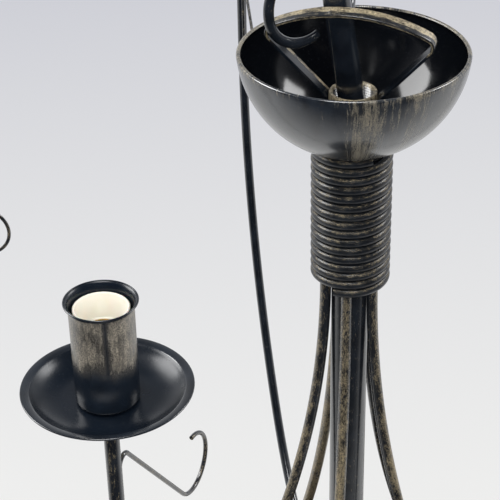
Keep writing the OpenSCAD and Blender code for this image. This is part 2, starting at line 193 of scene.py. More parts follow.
# a turned or pressed round piece: the outline in mm is spun about the upright axis
def turned(name, outline, place, gilt, closed=True, steps=96, bevel=0.0):
    ring = max(r for r, z in outline) * mm
    spun = drawnLine(name, [(r * mm, 0, z * mm) for r, z in outline], closed=closed)
    pickOnly(spun)
    bpy.ops.object.mode_set(mode="EDIT")
    bpy.ops.mesh.select_all(action="SELECT")
    bpy.ops.mesh.spin(steps=steps, angle=2 * math.pi, center=(0, 0, 0), axis=(0, 0, 1))
    bpy.ops.mesh.select_all(action="SELECT")
    bpy.ops.mesh.remove_doubles(threshold=0.00001)
    bpy.ops.mesh.normals_make_consistent(inside=False)
    bpy.ops.object.mode_set(mode="OBJECT")
    if bevel:
        applyModifier(spun, "BEVEL", width=bevel * mm, segments=2, limit_method="ANGLE", angle_limit=0.6)
    mesh = spun.data
    grain, gold = grainLayers(mesh)
    for k, vertex in enumerate(mesh.vertices):
        angle = math.atan2(vertex.co.y, vertex.co.x)
        reach = math.hypot(vertex.co.x, vertex.co.y)
        grain.data[k].vector = (ring * math.cos(angle), ring * math.sin(angle), vertex.co.z - reach)
        gold.data[k].value = gilt(angle, reach, vertex.co.z)
    mesh.transform(place)
    smooth(spun, 35)
    return spun


# points on a round stretch of an outline
def arc(r, z, radius, start, end, count=8):
    angles = [math.radians(start + (end - start) * k / count) for k in range(count + 1)]
    return [(r + radius * math.cos(a), z + radius * math.sin(a)) for a in angles]


def finishPiece(piece, body, slot, finishes, node):
    for finish in finishes:
        piece.data.materials.append(finish)
    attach(piece, body)
    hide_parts(node)


def copyPiece(piece, name):
    clearSelection()
    twin = piece.copy()
    twin.data = piece.data.copy()
    twin.name = name
    twin.data.name = name
    bpy.context.collection.objects.link(twin)
    return twin


# materials

def linear(hexColour):
    parts = [int(hexColour[k:k + 2], 16) / 255 for k in (1, 3, 5)]
    return (*[c / 12.92 if c <= 0.04045 else ((c + 0.055) / 1.055) ** 2.4 for c in parts], 1)


# sets a node's inputs: to a value, to another node's socket, or to a node, which gives its first
# output in use
def setInputs(tree, node, inputs):
    for key, value in inputs.items():
        if isinstance(value, bpy.types.Node):
            value = next(socket for socket in value.outputs if socket.enabled)
        if isinstance(value, bpy.types.NodeSocket):
            tree.links.new(value, node.inputs[key])
        else:
            node.inputs[key].default_value = value


# adds one node with its settings and links
def addNode(tree, kind, inputs=None, **settings):
    made = tree.nodes.new(kind)
    for key, value in settings.items():
        setattr(made, key, value)
    setInputs(tree, made, inputs or {})
    return made


def newMaterial(name):
    material = bpy.data.materials.new(name)
    material.use_nodes = True
    return material, material.node_tree, material.node_tree.nodes["Principled BSDF"]


# Gloss enamel on iron, dry-brushed with bronze: black shows bluish and shiny, the bronze is a dull
# streaky film that the brush dragged along the piece and left on what stands out. Sizes are in mm.
# Without a gilt of its own, a look takes it from what is marked on the piece.
ironLook = dict(black="#0b1017", dusty="#161d26", bronze="#827259", bright="#c7b691", gilt=None,
                streakWidth=0.5, streakLength=2.6, patch=13, grit=0.7, cover=0.68, soft=0.3, veil=0.04,
                enamelRough=0.186, bronzeRough=0.593, metal=0.4, ior=1.8, coat=0.25, coatRough=0.12,
                film=0.05)


def dryBrushed(name, look):
    material, tree, shader = newMaterial(name)
    if look["gilt"] is None:
        along = addNode(tree, "ShaderNodeAttribute", attribute_name="grain").outputs["Vector"]
        gilt = addNode(tree, "ShaderNodeAttribute", attribute_name="gilt").outputs["Fac"]
    else:
        along = addNode(tree, "ShaderNodeTexCoord").outputs["Object"]
        gilt = look["gilt"]
    width = 1 / (look["streakWidth"] * mm)
    length = 1 / (look["streakLength"] * mm)
    patchScale = 1 / (look["patch"] * mm)
    gritScale = 1 / (look["grit"] * mm)
    thin = addNode(tree, "ShaderNodeMapping", {"Vector": along, "Scale": (width, width, length)})
    wide = addNode(tree, "ShaderNodeMapping", {"Vector": along, "Scale": (width / 3, width / 3, length / 2)})
    fine = addNode(tree, "ShaderNodeTexNoise", {"Vector": thin, "Scale": 1, "Detail": 4, "Roughness": 0.65})
    broad = addNode(tree, "ShaderNodeTexNoise", {"Vector": wide, "Scale": 1, "Detail": 3})
    patch = addNode(tree, "ShaderNodeTexNoise", {"Vector": along, "Scale": patchScale, "Detail": 2})
    grit = addNode(tree, "ShaderNodeTexNoise", {"Vector": along, "Scale": gritScale, "Detail": 3})
    patches = addNode(tree, "ShaderNodeMapRange", {"Value": patch, "From Min": 0.3, "From Max": 0.62})
    specks = addNode(tree, "ShaderNodeMapRange", {"Value": grit, "From Min": 0.35, "From Max": 0.62})

    # the more paint is left in the brush, the more of the noise shows as strokes
    spread = addNode(tree, "ShaderNodeMapRange", {"Value": patches, "From Min": -1.2, "From Max": 0.8})
    load = addNode(tree, "ShaderNodeMath", {0: gilt, 1: spread}, operation="MULTIPLY")
    bristles = addNode(tree, "ShaderNodeMath", {0: broad, 1: 0.4}, operation="MULTIPLY")
    brush = addNode(tree, "ShaderNodeMath", {0: fine, 1: 0.6, 2: bristles}, operation="MULTIPLY_ADD")
    paint = addNode(tree, "ShaderNodeMath", {0: load, 1: 0.4, 2: brush}, operation="MULTIPLY_ADD")
    covered = addNode(tree, "ShaderNodeMapRange", {"Value": paint, "From Min": look["cover"],
                                                   "From Max": look["cover"] + look["soft"]})
    broken = addNode(tree, "ShaderNodeMapRange", {"Value": specks, "From Min": -0.6, "From Max": 0.8})
    strokes = addNode(tree, "ShaderNodeMath", {0: covered, 1: broken}, operation="MULTIPLY")
    veil = addNode(tree, "ShaderNodeMath", {0: load, 1: look["veil"]}, operation="MULTIPLY")
    film = addNode(tree, "ShaderNodeMath", {0: strokes, 1: veil}, operation="MAXIMUM")

    black, dusty, bronze, bright = (linear(look[key]) for key in ("black", "dusty", "bronze", "bright"))
    enamel = addNode(tree, "ShaderNodeMix", {"Factor": patches, "A": black, "B": dusty}, data_type="RGBA")
    gold = addNode(tree, "ShaderNodeMix", {"Factor": specks, "A": bronze, "B": bright}, data_type="RGBA")
    colour = addNode(tree, "ShaderNodeMix", {"Factor": film, "A": enamel, "B": gold}, data_type="RGBA")
    metal = addNode(tree, "ShaderNodeMath", {0: film, 1: look["metal"]}, operation="MULTIPLY")
    rough = addNode(tree, "ShaderNodeMapRange", {"Value": film, "To Min": look["enamelRough"],
                                                 "To Max": look["bronzeRough"]})
    bump = addNode(tree, "ShaderNodeBump", {"Strength": 0.35, "Distance": look["film"] * mm, "Height": film})
    setInputs(tree, shader, {"Base Color": colour, "Metallic": metal, "Roughness": rough, "Normal": bump,
                             "IOR": look["ior"], "Coat Weight": look["coat"],
                             "Coat Roughness": look["coatRough"]})
    return material


brushedIron = dryBrushed("dryBrushedIron", ironLook)
coilIron = dryBrushed("dryBrushedCoilWire", dict(
    ironLook, streakWidth=0.35, streakLength=1.4, patch=6, enamelRough=0.3, bronzeRough=0.65, ior=1.6,
    coat=0.0))
bowlOutside = dryBrushed("brushedBowlEnamel", dict(
    ironLook, black="#0f141b", dusty="#1d242d", bronze="#8b8270", bright="#c4b89e", streakWidth=1.0,
    streakLength=8, patch=10, soft=0.38, veil=0.03, enamelRough=0.2045, bronzeRough=0.602, ior=2.0))
# on the strap the bright bronze is lightened towards white-gold: a painted highlight of the light above, over
# the rubbed gilt
rubbedStrapWithHighlight = dryBrushed("rubbedStrapIronWithHighlight", dict(
    ironLook, bronze="#94825f", bright="#e0d0ac", streakLength=5))
gildedCup = dryBrushed("gildedCupEnamel", dict(
    ironLook, bronze="#8a8271", bright="#c0b6a6", streakWidth=1.2, streakLength=6, patch=18, soft=0.32,
    veil=0.22, enamelRough=0.2045, bronzeRough=0.602))
plainIron = dryBrushed("enamelledIron", dict(ironLook, gilt=0.45))


# Stoved black enamel inside bowl, pans and cups: gloss with dust nibs, sharp in the bowl, softer in the pans.
enamelLook = dict(nib="#2a2d30", dust=0.9, haze=24, peel=0.02)


def stovedEnamel(name, black, smoothest, roughest):
    look = enamelLook
    material, tree, shader = newMaterial(name)
    place = addNode(tree, "ShaderNodeTexCoord").outputs["Object"]
    dustScale = 1 / (look["dust"] * mm)
    hazeScale = 1 / (look["haze"] * mm)
    dust = addNode(tree, "ShaderNodeTexNoise", {"Vector": place, "Scale": dustScale, "Detail": 2})
    haze = addNode(tree, "ShaderNodeTexNoise", {"Vector": place, "Scale": hazeScale, "Detail": 3})
    nibs = addNode(tree, "ShaderNodeMapRange", {"Value": dust, "From Min": 0.66, "From Max": 0.74})
    colour = addNode(tree, "ShaderNodeMix", {"Factor": nibs, "A": linear(black), "B": linear(look["nib"])},
                     data_type="RGBA")
    rough = addNode(tree, "ShaderNodeMapRange", {"Value": haze, "To Min": smoothest, "To Max": roughest})
    peel = addNode(tree, "ShaderNodeBump", {"Strength": 0.15, "Distance": look["peel"] * mm, "Height": dust})
    setInputs(tree, shader, {"Base Color": colour, "Roughness": rough, "Normal": peel})
    return material


# Moulded off-white thermoplastic: satin, slightly waxy, a little yellowed.
ivoryLook = dict(dark="#ded8c8", light="#eeeade", tone=9, grain=0.5, smoothest=0.273, roughest=0.5,
                 bump=0.03, wax=0.1, waxDeep=2)


def mouldedIvory():
    look = ivoryLook
    material, tree, shader = newMaterial("mouldedIvoryPlastic")
    place = addNode(tree, "ShaderNodeTexCoord").outputs["Object"]
    dark, light = linear(look["dark"]), linear(look["light"])
    toneScale = 1 / (look["tone"] * mm)
    grainScale = 1 / (look["grain"] * mm)
    tone = addNode(tree, "ShaderNodeTexNoise", {"Vector": place, "Scale": toneScale, "Detail": 2})
    grain = addNode(tree, "ShaderNodeTexNoise", {"Vector": place, "Scale": grainScale, "Detail": 2})
    colour = addNode(tree, "ShaderNodeMix", {"Factor": tone, "A": dark, "B": light}, data_type="RGBA")
    rough = addNode(tree, "ShaderNodeMapRange", {"Value": grain, "To Min": look["smoothest"],
                                                 "To Max": look["roughest"]})
    bump = addNode(tree, "ShaderNodeBump", {"Strength": 0.1, "Distance": look["bump"] * mm, "Height": grain})
    setInputs(tree, shader, {"Base Color": colour, "Roughness": rough, "Normal": bump,
                             "Subsurface Weight": look["wax"], "Subsurface Scale": look["waxDeep"] * mm})
    return material


# Bare metal, turned or stamped: fine lathe lines and uneven dullness.
metalLook = dict(lineLong=10 / 3, lineApart=0.25, tarnish=6, bump=0.02)


def bareMetal(name, dark, light, smoothest, roughest):
    look = metalLook
    material, tree, shader = newMaterial(name)
    place = addNode(tree, "ShaderNodeTexCoord").outputs["Object"]
    around = 1 / (look["lineLong"] * mm)
    apart = 1 / (look["lineApart"] * mm)
    tarnishScale = 1 / (look["tarnish"] * mm)
    lines = addNode(tree, "ShaderNodeMapping", {"Vector": place, "Scale": (around, around, apart)})
    turning = addNode(tree, "ShaderNodeTexNoise", {"Vector": lines, "Scale": 1, "Detail": 3})
    tarnish = addNode(tree, "ShaderNodeTexNoise", {"Vector": place, "Scale": tarnishScale, "Detail": 3})
    colour = addNode(tree, "ShaderNodeMix", {"Factor": tarnish, "A": linear(dark), "B": linear(light)},
                     data_type="RGBA")
    rough = addNode(tree, "ShaderNodeMapRange", {"Value": turning, "To Min": smoothest, "To Max": roughest})
    bump = addNode(tree, "ShaderNodeBump", {"Strength": 0.2, "Distance": look["bump"] * mm,
                                            "Height": turning})
    setInputs(tree, shader, {"Base Color": colour, "Roughness": rough, "Normal": bump, "Metallic": 1})
    return material


blackEnamel = stovedEnamel("stovedBlackEnamel", "#080a0e", 0.036, 0.214)
panEnamel = stovedEnamel("stovedPanEnamel", "#0d141d", 0.077, 0.4615)
ivory = mouldedIvory()
steel = bareMetal("turnedSteel", "#77787c", "#a5a6aa", 0.219, 0.531)
brass = bareMetal("stampedBrass", "#a3803c", "#d3ad60", 0.194, 0.516)
print("materials ready")


# gilt left by the brush: most on the outer side of a bar, and with a gain (per metre from the start)
# more towards its far end
def outerGilt(most, least, wire, gain=0.0, start=0.0):
    def gilt(across, aside, run):
        amount = least + (most - least) * max(0.0, across / (wire * mm / 2))
        return min(1.0, amount * (1 + gain * (run - start)))
    return gilt


def evenGilt(amount):
    return lambda *where: amount


# turns round the column to place i of the set; phase is in degrees from the front, clockwise from above
def facing(phase, i):
    return Matrix.Rotation(math.radians(270 - phase - 360 / candleCount * (i - 1)), 4, "Z")


def shift(x, y, z):
    return Matrix.Translation((x, y, z))


def tilt(degrees, axis):
    return Matrix.Rotation(math.radians(degrees), 4, axis)


# column, bowl and dish

columnPipe = dict(outer=26.4, wall=2.2, play=0.2, gilt=0.3, bevel=0.4)
pipeOuter = columnPipe["outer"] / 2
pipeInner = pipeOuter - columnPipe["wall"]

# beadGap is in degrees, beadDip is a share of the rolled rim's radius and rollShare of its height
bowlSheet = dict(wall=1.5, deep=70, dishDeep=46, beadGap=0.6, beadDip=0.4, rollShare=0.35)

# the brush went over the bowl in vertical strokes, most of all at the front, a little to the right:
# each lobe has its middle and spread in degrees, and its weight
bowlGilding = dict(bare=0.12, rim=0.5, rimShare=0.3,
                   lobes=[(-86, 12, 0.7), (-60, 9, 0.5), (-38, 8, 0.4), (20, 40, 0.35), (100, 50, 0.5),
                          (170, 45, 0.3)])


def sphereOf(rim, deep):
    return (rim ** 2 + deep ** 2) / (2 * deep)


def bowlOutline(rim, deep, hole):
    roll = rimRoll / mm / 2
    gap = bowlSheet["beadGap"]
    sphere = sphereOf(rim, deep)
    top = sphere - deep
    inner = sphere - bowlSheet["wall"]
    start = -math.degrees(math.acos(hole / sphere))
    end = -math.degrees(math.asin(top / sphere))
    innerEnd = -math.degrees(math.asin((top + roll * bowlSheet["beadDip"]) / inner))
    innerStart = -math.degrees(math.acos(hole / inner))
    outside = arc(0, top, sphere, start, end - gap, 40)
    bead = arc(rim - roll, 0, roll, -20, 200, 12)
    return outside + bead + arc(0, top, inner, innerEnd - gap, innerStart, 40)


def bowlGilt(angle, reach, z):
    amount = bowlGilding["bare"]
    if z > -bowlGilding["rimShare"] * rimRoll:
        amount += bowlGilding["rim"] * abs(math.cos(angle))
    for middle, spread, weight in bowlGilding["lobes"]:
        away = (math.degrees(angle) - middle + 180) % 360 - 180
        amount += weight * math.exp(-(away / spread) ** 2)
    return min(1.0, amount)


def makeBowl(name, node, deep):
    low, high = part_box(node)
    rim = (high.x - low.x) / 2 / mm
    place = shift(columnX, 0, high.z - rimRoll / 2)
    hole = pipeOuter + columnPipe["play"]
    bowl = turned(name, bowlOutline(rim, deep, hole), place, bowlGilt, steps=144)
    middle = place @ Vector((0, 0, (sphereOf(rim, deep) - deep) * mm))
    roll = high.z - bowlSheet["rollShare"] * rimRoll
    for face in bowl.data.polygons:
        inward = face.normal.dot(face.center - middle) < 0
        face.material_index = 1 if inward and face.center.z < roll else 0
    finishPiece(bowl, "lamp", "bowl_lacquer", [bowlOutside, blackEnamel], node)


makeBowl("pressedBowl", "bowl", bowlSheet["deep"])
makeBowl("pressedDish", "lower_dish", bowlSheet["dishDeep"])

tubeLow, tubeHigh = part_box("column_tube")
pipeLength = (tubeHigh.z - tubeLow.z) / mm
pipeOutline = [(pipeOuter, 0), (pipeOuter, pipeLength), (pipeInner, pipeLength), (pipeInner, 0)]
column = turned("columnPipe", pipeOutline, shift(columnX, 0, tubeLow.z), evenGilt(columnPipe["gilt"]),
                bevel=columnPipe["bevel"])
finishPiece(column, "lamp", "brushed_iron", [brushedIron], "column_tube")

# pipe socket with its inside thread, its mouth rubbed bright
socketLow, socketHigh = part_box("pipe_socket")
socketTall = (socketHigh.z - socketLow.z) / mm
pipeSocket = dict(outer=32.4, bore=26.8, threads=8, threadPitch=1.8, threadDeep=0.9, chamfer=0.8,
                  mouth=2, mouthGilt=1.0, gilt=0.4)


def socketOutline():
    outer = pipeSocket["outer"] / 2
    bore = pipeSocket["bore"] / 2
    edge = pipeSocket["chamfer"]
    pitch = pipeSocket["threadPitch"]
    top = socketTall - edge
    outline = [(outer, 0), (outer, top), (outer - edge / 2, socketTall), (bore + edge, socketTall)]
    for k in range(pipeSocket["threads"]):
        z = top - k * pitch
        outline += [(bore, z - 0.2 * pitch), (bore + pipeSocket["threadDeep"], z - 0.6 * pitch)]
    return outline + [(bore, z - 1.3 * pitch), (bore, 0)]


def socketGilt(angle, reach, z):
    return pipeSocket["mouthGilt"] if z > (socketTall - pipeSocket["mouth"]) * mm else pipeSocket["gilt"]


socket = turned("threadedSocket", socketOutline(), shift(columnX, 0, socketLow.z), socketGilt)
finishPiece(socket, "lamp", "brushed_iron", [rubbedStrapWithHighlight], "pipe_socket")
print("column, bowl and dish done")

# coil wound round the stay rods, right-handed, its lower end free at the front; steps (in a turn) and
# tail are counts of points
coilWire = dict(wire=6.3, pitch=6.8, turns=15, steps=64, tail=5)
coilLow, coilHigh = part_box("coil")

# the brush caught the outer side of each turn, and the peak of gilt on its upper side is also a painted
# highlight from the light above; crest, above the level, and spread are in degrees
coilGildingAndHighlight = dict(outside=0.3, inside=0.1, most=0.42, crest=44, spread=20)


def coilGiltAndHighlight(across, aside, run):
    if across <= 0:
        return coilGildingAndHighlight["inside"]
    # the peak above the level is dry-brushed bronze and a painted highlight of the light from above
    upward = math.degrees(math.atan2(-aside, across))
    fromCrest = (upward - coilGildingAndHighlight["crest"]) / coilGildingAndHighlight["spread"]
    return coilGildingAndHighlight["outside"] + coilGildingAndHighlight["most"] * math.exp(-fromCrest ** 2)


def makeCoil():
    wire = coilWire["wire"] * mm
    pitch = coilWire["pitch"] * mm
    steps = coilWire["steps"]
    tail = coilWire["tail"]
    radius = (coilHigh.x - coilLow.x) / 2 - wire / 2
    bottom = coilLow.z + wire / 2
    slope = math.atan(pitch / (2 * math.pi * radius))
    samples = []
    for k in range(-tail, coilWire["turns"] * steps + tail + 1):
        angle = -math.pi / 2 + 2 * math.pi * k / steps
        out = Vector((math.cos(angle), math.sin(angle), 0))
        around = Vector((-math.sin(angle), math.cos(angle), 0))
        ahead = around * math.cos(slope) + Vector((0, 0, math.sin(slope)))
        at = Vector((columnX, 0, bottom + pitch * k / steps)) + radius * out
        run = 2 * math.pi * radius * k / steps
        samples.append({"at": at, "out": out, "aside": ahead.cross(out), "run": run})
    coil = drawnLine("coilWinding", [sample["at"] for sample in samples], wire, sides=16)
    markGrain(coil, samples, coilGiltAndHighlight)
    smooth(coil, 50)
    finishPiece(coil, "lamp", "brushed_iron", [coilIron], "coil")


makeCoil()

# stay rods that run down beside the column and flare into the dish; one is brushed nearly all over
stayRod = dict(wire=8, straight=102, bend=700, sweep=27, phase=10, gap=0.3, brushedRod=3, brushedGilt=0.95)
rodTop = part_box("stay_rod_1")[1].z
rodStand = shift((pipeOuter + stayRod["wire"] / 2 + stayRod["gap"]) * mm, 0, rodTop)
rodSteps = [(0, stayRod["straight"]), (stayRod["bend"], stayRod["sweep"])]
rodGilt = outerGilt(most=0.8, least=0.42, wire=stayRod["wire"], gain=2.2, start=0.19)
for i in range(1, candleCount + 1):
    place = shift(columnX, 0, 0) @ facing(stayRod["phase"], i) @ rodStand @ tilt(180, "X")
    gilt = evenGilt(stayRod["brushedGilt"]) if i == stayRod["brushedRod"] else rodGilt
    rod = bentBar(f"flaredRod_{i}", rodSteps, stayRod["wire"], place, gilt, stride=8)
    finishPiece(rod, "lamp", "brushed_iron", [brushedIron], f"stay_rod_{i}")
print("coil and rods done")

# leaning stem with its two scrolls
stemPipe = dict(outer=18, wall=1.5, length=215, tail=6.5, lean=8.5, gilt=0.12, bevel=0.3)
pinLow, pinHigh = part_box("stem_pin")
stemPlace = shift(*((pinLow + pinHigh) / 2)) @ tilt(-stemPipe["lean"], "Y")
stemOuter = stemPipe["outer"] / 2
stemInner = stemOuter - stemPipe["wall"]
stemOutline = [(stemOuter, -stemPipe["tail"]), (stemOuter, stemPipe["length"]),
               (stemInner, stemPipe["length"]), (stemInner, -stemPipe["tail"])]
stem = turned("leaningStem", stemOutline, stemPlace, evenGilt(stemPipe["gilt"]), bevel=stemPipe["bevel"])
finishPiece(stem, "stem", "brushed_iron", [brushedIron], "stem_tube")

stemScroll = dict(wire=7, top=152, weld=15, bend=35, turn=59.5, curl=20.5, curlTurn=122, gap=0.3, gilt=0.22,
                  tip=14, tipShare=0.72, frontPhase=68, backPhase=192)
scrollSteps = [(0, stemScroll["weld"]), (stemScroll["bend"], stemScroll["turn"]),
               (stemScroll["bend"], -stemScroll["turn"]), (stemScroll["curl"], -stemScroll["curlTurn"])]


# the last stretch of a scroll is drawn out thinner
def scrollTaper(run, length):
    left = (length - run) / (stemScroll["tip"] * mm)
    return stemScroll["tipShare"] + (1 - stemScroll["tipShare"]) * min(1, left)


for name, node, phase in (("frontScroll", "scroll_front", stemScroll["frontPhase"]),
                          ("backScroll", "scroll_back", stemScroll["backPhase"])):
    away = stemOuter + stemScroll["wire"] / 2 + stemScroll["gap"]
    place = stemPlace @ tilt(270 - phase, "Z")
    place = place @ shift(away * mm, 0, stemScroll["top"] * mm) @ tilt(180, "X")
    scroll = bentBar(name, scrollSteps, stemScroll["wire"], place, evenGilt(stemScroll["gilt"]), scrollTaper,
                     stride=2.5)
    finishPiece(scroll, "stem", "brushed_iron", [brushedIron], node)

# strap loop welded to the socket, leaning to the front over the bowl
strapLoop = dict(width=9, thick=2.2, leg=58, rise=52, shoulder=7, turn=97.5, lean=16, yaw=14, drop=4, gap=0.3,
                 bevel=0.6, strips=8)

# the legs are bare but for the left one's back edge, and the arch is rubbed bright along its edges and on its
# outer side; the left leg's edge and the back of the arch's outer side are also painted highlights of the
# light from above; legEdgeFrom, topFrom and wornFrom are shares of half the strap's width
strapGildingAndHighlight = dict(leg=0.05, legEdge=0.9, legEdgeFrom=0.35, outside=0.3, top=1.0, topFrom=-0.1,
                    topFront=0.45, under=0.12, worn=0.9, wornFrom=0.75)


def makeStrap():
    size = strapLoop
    rise = math.radians(size["rise"])
    spread = size["turn"] + size["rise"] - 90
    foot = pipeSocket["outer"] / 2 + size["thick"] / 2 * math.sin(rise) + size["gap"]
    shoulder = size["shoulder"] * (math.cos(math.radians(spread)) - math.sin(rise))
    arch = (foot + size["leg"] * math.cos(rise) + shoulder) / math.cos(math.radians(spread))
    steps = [(0, size["leg"]), (size["shoulder"], size["turn"]), (arch, 180 - 2 * spread),
             (size["shoulder"], size["turn"]), (0, size["leg"])]
    place = shift(columnX, 0, socketHigh.z - size["drop"] * mm)
    place = place @ tilt(-size["yaw"], "Z") @ tilt(size["lean"], "X")
    place = place @ shift(-foot * mm, 0, 0) @ tilt(size["rise"] - 90, "Y")
    samples = pathSamples(bentPath(steps, 2.5), place, outer=-1)
    edge = size["width"] * mm / 2
    half = place.to_3x3() @ Vector((0, edge, 0))
    strap = drawnLine("strapLoop", [sample["at"] - half for sample in samples])
    pickOnly(strap)
    bpy.ops.object.mode_set(mode="EDIT")
    bpy.ops.mesh.select_all(action="SELECT")
    for _ in range(size["strips"]):
        bpy.ops.mesh.extrude_region_move(TRANSFORM_OT_translate={"value": 2 * half / size["strips"]})
    bpy.ops.mesh.select_all(action="SELECT")
    bpy.ops.mesh.normals_make_consistent(inside=False)
    bpy.ops.object.mode_set(mode="OBJECT")
    applyModifier(strap, "SOLIDIFY", thickness=size["thick"] * mm, offset=0)
    applyModifier(strap, "BEVEL", width=size["bevel"] * mm, segments=3, limit_method="ANGLE", angle_limit=0.9)
    length = samples[-1]["run"]

    def gilt(across, aside, run):
        look = strapGildingAndHighlight
        share = aside / edge
        # the left leg's back edge: rubbed gilt and a painted highlight, while the right leg stays dark
        if min(run, length - run) < size["leg"] * mm:
            return look["legEdge"] if run < length / 2 and share > look["legEdgeFrom"] else look["leg"]
        # the arch's outer side, brightest at the back: rubbed gilt and a painted highlight of the light above
        if across > look["outside"] * mm:
            return look["top"] if share > look["topFrom"] else look["topFront"]
        return look["under"] + look["worn"] * max(0, abs(share) - look["wornFrom"]) / (1 - look["wornFrom"])

    markGrain(strap, samples, gilt)
    smooth(strap, 40)
    finishPiece(strap, "lamp", "brushed_iron", [rubbedStrapWithHighlight], "strap_loop")


makeStrap()
print("stem, scrolls and strap done")

# hub and finial under the dish
hubLow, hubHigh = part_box("arm_hub")
hubTurning = dict(outer=60, bead=3, groove=1.2, grooveAt=3, grooveStep=1, pipeGrip=12, chamber=16, gilt=0.5)
finialBall = dict(ball=34, neck=4, drop=12, seat=0.8, flare=1, edge=0.6, gap=0.1, gilt=0.55)


def makeHub():
    tall = (hubHigh.z - hubLow.z) / mm
    outer = hubTurning["outer"] / 2
    bead = hubTurning["bead"]
    deep = outer - hubTurning["groove"]
    step = hubTurning["grooveStep"]
    margin = bead + hubTurning["grooveAt"]
    grip = tall - hubTurning["pipeGrip"]
    bore = pipeOuter + columnPipe["play"]
    outline = [(0, 0), (outer - bead, 0)] + arc(outer - bead, bead, bead, -90, 0)
    for z in (margin, tall - margin - 3 * step):
        outline += [(outer, z), (deep, z + step), (deep, z + 2 * step), (outer, z + 3 * step)]
    outline += arc(outer - bead, tall - bead, bead, 0, 90) + [(bore, tall), (bore, grip), (0, grip)]
    hub = turned("armHub", outline, shift(columnX, 0, hubLow.z), evenGilt(hubTurning["gilt"]), closed=False)
    finishPiece(hub, "lamp", "brushed_iron", [brushedIron], "arm_hub")


def makeFinial():
    ball = finialBall["ball"] / 2
    drop = finialBall["drop"] / 2
    neck = finialBall["neck"]
    flare = finialBall["flare"]
    edge = finialBall["edge"]
    joint = finialBall["seat"] * ball
    ballZ = -neck - joint
    dropZ = ballZ - ball - drop / 2
    outline = arc(0, dropZ, drop, -90, 50, 12) + arc(0, ballZ, ball, -72, 30, 24)
    outline += [(joint, -neck), (joint + flare, flare - neck), (ball, -edge), (ball - edge, 0), (0, 0)]
    place = shift(columnX, 0, hubLow.z - finialBall["gap"] * mm)
    finial = turned("ballFinial", outline, place, evenGilt(finialBall["gilt"]), closed=False)
    finishPiece(finial, "lamp", "brushed_iron", [brushedIron], "finial")


makeHub()
makeFinial()

# arms that sweep out and up to the candles, and the wire scrolls on them
armTube = dict(outer=8, grip=10, reach=350, rise=100, level=40, split=50, phase=22.5)
wireScroll = dict(wire=2.6, weld=55, drop=37, top=5, fall=51, run=95, curl=18, curlTurn=230, gap=0.3,
                  gilt=0.5)
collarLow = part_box("pan_collar_1")[0].z
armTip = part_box("arm_1")[1].z
armZ = hubHigh.z - (hubTurning["pipeGrip"] + hubTurning["chamber"] / 2) * mm
armStart = hubTurning["outer"] / 2 - armTube["grip"]


# the two bends' radii follow from how far out and up the arm has to go
def armSteps():
    split = math.radians(armTube["split"])
    topZ = collarLow / mm - armTube["rise"]
    outwards = armTube["reach"] - armStart - armTube["level"]
    upwards = topZ - armZ / mm
    share = math.sin(split) + math.cos(split) - 1
    lower = (outwards * math.cos(split) - upwards * (1 - math.sin(split))) / share
    upper = (upwards * math.sin(split) - outwards * (1 - math.cos(split))) / share
    return [(0, armTube["level"]), (lower, -armTube["split"]), (upper, armTube["split"] - 90),
            (0, armTip / mm - topZ)]


wireAside = armTube["reach"] - (armTube["outer"] + wireScroll["wire"]) / 2 - wireScroll["gap"]
wireFoot = collarLow / mm - wireScroll["drop"] - wireScroll["top"] - wireScroll["weld"]
wireSteps = [(0, wireScroll["weld"]), (wireScroll["top"], 90 + wireScroll["fall"]), (0, wireScroll["run"]),
             (wireScroll["curl"], -wireScroll["curlTurn"])]
armGilt = outerGilt(most=0.5, least=0.2, wire=armTube["outer"])
for i in range(1, candleCount + 1):
    outwards = shift(columnX, 0, 0) @ facing(armTube["phase"], i)
    armPlace = outwards @ shift(armStart * mm, 0, armZ) @ tilt(90, "Y")
    arm = bentBar(f"sweptArm_{i}", armSteps(), armTube["outer"], armPlace, armGilt, stride=7)
    finishPiece(arm, "lamp", "brushed_iron", [brushedIron], f"arm_{i}")
    wirePlace = outwards @ shift(wireAside * mm, 0, wireFoot * mm) @ tilt(180, "Z")
    wire = bentBar(f"wireScroll_{i}", wireSteps, wireScroll["wire"], wirePlace, evenGilt(wireScroll["gilt"]),
                   stride=2.5)
    finishPiece(wire, "lamp", "brushed_iron", [brushedIron], f"wire_scroll_{i}")
print("hub, finial, arms and wires done")

# candles: drip pan, cup and lamp holder, modelled once at the axis and copied to each arm
dripPan = dict(rim=43, floor=23, deep=9, sheet=1.0, hole=4.1, lip=4, lipRise=0.5, lipInset=0.3, lipDip=0.6,
               lipTurn=1.5, floorInset=0.2, topGilt=0.05, underGilt=0.8)
candleCup = dict(outer=16, tall=58, sheet=1.0, corner=3, flare=18.3, flareTall=7, flareRows=8, flareCurve=2.2,
                 hole=4.1, rows=3)
lampHolder = dict(outer=14, mouth=12.5, edge=0.6, lipStart=0.8, funnel=12, funnelFoot=1.2, funnelRise=0.5,
                  shell=7.85, shellPlay=0.1, shellTall=16, contact=6, contactHole=6.4, hole=4.3)
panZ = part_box("drip_pan_1")[0].z
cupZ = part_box("candle_cup_1")[0].z
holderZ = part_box("lamp_holder_1")[0].z
holderTall = (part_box("lamp_holder_1")[1].z - holderZ) / mm
panLipStart = dripPan["rim"] - dripPan["lip"]


def panOutline():
    size = dripPan
    sheet = size["sheet"]
    rim = size["rim"]
    top = size["deep"]
    wall = panLipStart - size["floor"]
    rise = top - sheet - size["lipRise"]
    bend = (wall ** 2 + rise ** 2) / (2 * rise)
    sweep = math.degrees(math.asin(min(1.0, wall / bend)))
    under = [(size["hole"], 0)] + arc(size["floor"], bend, bend, -90, sweep - 90, 12)
    under += [(rim - sheet / 2, top - sheet)] + arc(rim - sheet / 2, top - sheet / 2, sheet / 2, -80, 90, 6)
    over = [(panLipStart + size["lipInset"], top - size["lipDip"])]
    over += arc(size["floor"] - size["floorInset"], bend + sheet, bend, sweep - 90 - size["lipTurn"], -90, 12)
    return under + over + [(size["hole"], sheet)]


